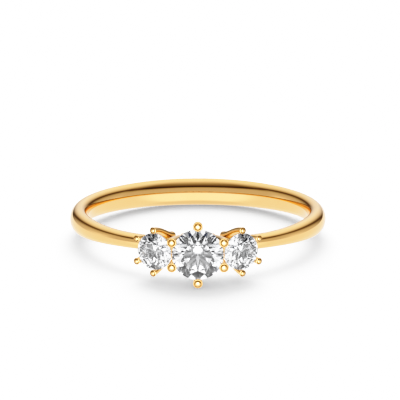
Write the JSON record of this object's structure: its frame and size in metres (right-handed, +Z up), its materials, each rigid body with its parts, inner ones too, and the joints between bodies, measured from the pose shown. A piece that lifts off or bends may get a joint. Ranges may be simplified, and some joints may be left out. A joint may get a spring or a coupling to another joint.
{
  "type": "three stone ring",
  "caption": "Polished yellow gold ring lying on its side: a tapered band with a claw-set round brilliant between two smaller ones.",
  "frame": {"origin": "middle of the resting ring's bounding box, on the surface that it lies on", "axes": "+X to the wearer's right across the stones, +Y from the stones to the back of the band, +Z up from the surface, 4 degrees off the finger's axis"},
  "size_m": [0.0204, 0.0235, 0.0052],
  "materials": {
    "yellow_gold": "polished",
    "diamond": "polished"
  },
  "bodies": {
    "root": {"ring_mount": "yellow_gold", "centre_stone": "diamond", "left_stone": "diamond", "right_stone": "diamond"}
  },
  "joints": []
}
